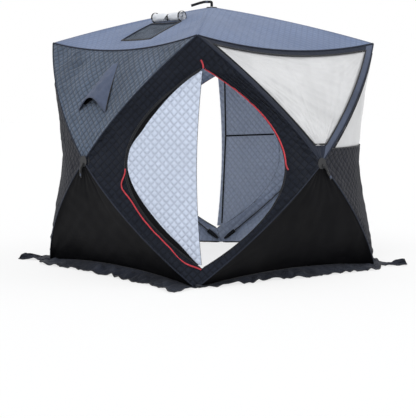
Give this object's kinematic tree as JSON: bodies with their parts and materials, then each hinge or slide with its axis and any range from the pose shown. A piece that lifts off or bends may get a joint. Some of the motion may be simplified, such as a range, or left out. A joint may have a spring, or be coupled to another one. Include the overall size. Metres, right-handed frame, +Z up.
{
  "type": "ice fishing hut",
  "caption": "Pop-up insulated ice fishing hut with hub walls, a zipped door in two opposite corners, windows, vent hoods and a ground skirt; one door flap folds open and shut.",
  "frame": {"origin": "on the ground at the middle of the floor", "axes": "+Z up, front wall faces -Y, left wall faces -X"},
  "size_m": [2.4006, 2.4006, 2.0104],
  "materials": {
    "roof_fabric": "quilted blue-grey fabric",
    "wall_quilt": "quilted charcoal fabric",
    "base_fabric": "smooth black coated fabric",
    "strip_fabric": "plain navy fabric",
    "lining": "quilted silver lining",
    "window_film": "milky clear film",
    "mesh": "dark mesh",
    "cover_fabric": "white rolled cover",
    "pole": "black glass-fibre rod",
    "hub_plastic": "black moulded plastic",
    "webbing": "black webbing"
  },
  "bodies": {
    "hut": {"roof_front": "roof_fabric", "roof_right": "roof_fabric", "roof_back": "roof_fabric", "roof_left": "roof_fabric", "roof_window_mesh": "mesh", "roof_window_cover": "cover_fabric", "roof_strap": "webbing", "front_window_frame": "strip_fabric", "front_window": "window_film", "back_window_frame": "strip_fabric", "back_window": "window_film", "left_wall_top": "wall_quilt", "right_wall_top": "wall_quilt", "left_vent_hood": "wall_quilt", "right_vent_hood": "wall_quilt", "front_wall_base": "base_fabric", "right_wall_base": "base_fabric", "back_wall_base": "base_fabric", "left_wall_base": "base_fabric", "back_left_corner": "wall_quilt", "front_right_corner": "wall_quilt", "corner_window_frame": "strip_fabric", "corner_window": "window_film", "front_door_surround_left": "wall_quilt", "front_door_surround_right": "wall_quilt", "front_door_zipped_half": "wall_quilt", "front_door_seam": "webbing", "back_door_surround_left": "wall_quilt", "back_door_surround_right": "wall_quilt", "back_door_zipped_half": "wall_quilt", "back_door_flap": "lining", "back_door_seam": "webbing", "front_wall_poles": "pole", "right_wall_poles": "pole", "back_wall_poles": "pole", "left_wall_poles": "pole", "roof_poles": "pole", "wall_hubs": "hub_plastic", "roof_hub": "hub_plastic", "hub_straps": "webbing", "pole_pockets": "webbing", "skirt": "strip_fabric"},
    "front_door_flap": {"front_door_flap": "lining"}
  },
  "joints": [
    {"name": "front_door_fold", "type": "hinge", "parent": "hut", "child": "front_door_flap", "pos_m": [-0.84029, -0.89403, 0.8], "axis": [0, 0, 1], "range_deg": [0, 220]}
  ]
}
